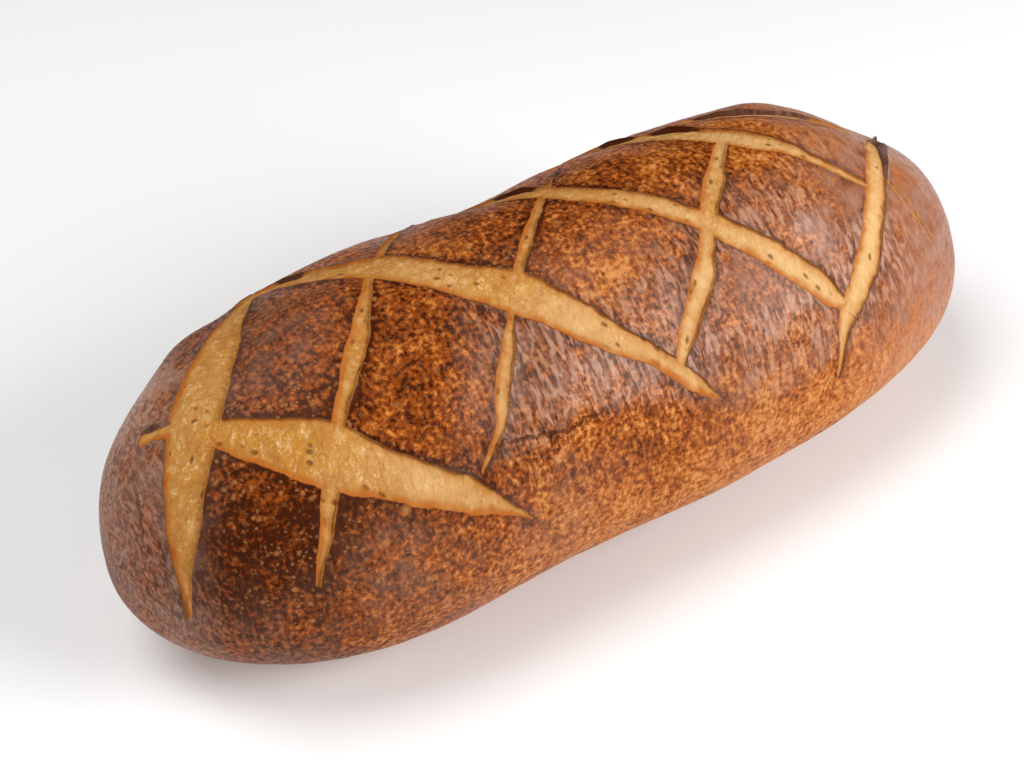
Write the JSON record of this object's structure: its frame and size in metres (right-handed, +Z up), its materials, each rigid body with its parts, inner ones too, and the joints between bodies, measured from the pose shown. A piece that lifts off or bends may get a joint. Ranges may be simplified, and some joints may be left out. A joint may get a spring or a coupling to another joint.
{
  "type": "vienna loaf",
  "caption": "Long rounded Vienna bread loaf with a dark glossy speckled crust, scored across the crown in a diamond lattice that opens onto golden crumb, resting on its flat sole.",
  "frame": {"origin": "centre of the loaf's footprint, on the surface that it rests on", "axes": "+X along the loaf towards its more tapered end, +Y towards the loaf's back, +Z up through the scored crown"},
  "size_m": [0.33, 0.1337, 0.1143],
  "materials": {
    "baked_crust": "satin chestnut-brown baked crust with fine pale blisters, golden matte crumb in the cuts"
  },
  "bodies": {
    "root": {"loaf": "baked_crust"}
  },
  "joints": []
}
